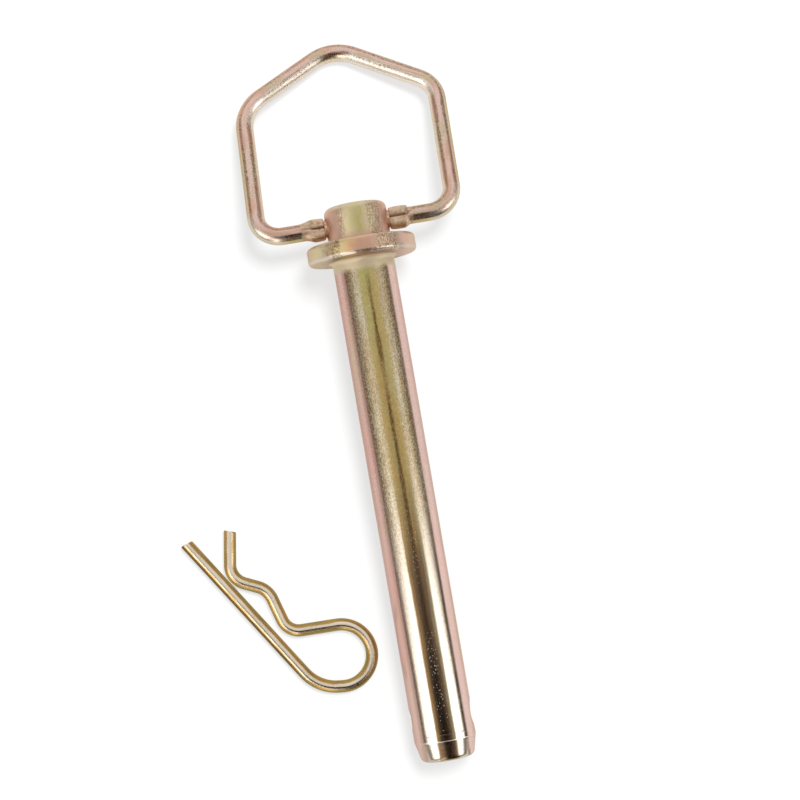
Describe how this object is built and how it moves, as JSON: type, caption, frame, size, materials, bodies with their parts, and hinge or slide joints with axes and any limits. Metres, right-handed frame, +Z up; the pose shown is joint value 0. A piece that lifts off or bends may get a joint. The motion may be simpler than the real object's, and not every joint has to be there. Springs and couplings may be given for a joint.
{
  "type": "swivel hitch pin",
  "caption": "Plated steel hitch pin with a round collar, a cross-drilled tapered tip and a swinging wire handle, with its hairpin clip lying beside it.",
  "frame": {"origin": "on the surface that the set lies on, at the middle of the footprint", "axes": "+Z up, +Y along the pin from its tip towards the handle, +X across the pin, away from the hairpin clip"},
  "size_m": [0.1049, 0.2264, 0.0337],
  "materials": {
    "plated_pin": "bright yellow zinc plating with a pink and olive sheen over turned steel",
    "plated_handle": "bright yellow zinc plating over drawn steel wire",
    "plated_clip": "bright golden zinc plating over spring wire"
  },
  "bodies": {
    "pin_body": {"pin": "plated_pin", "hairpin_clip": "plated_clip"},
    "handle_body": {"handle": "plated_handle"}
  },
  "joints": [
    {"name": "handle_swing", "type": "hinge", "parent": "pin_body", "child": "handle_body", "pos_m": [0.01765, 0.05248, 0.01726], "axis": [1, 0, 0], "range_deg": [-150, 184]}
  ]
}
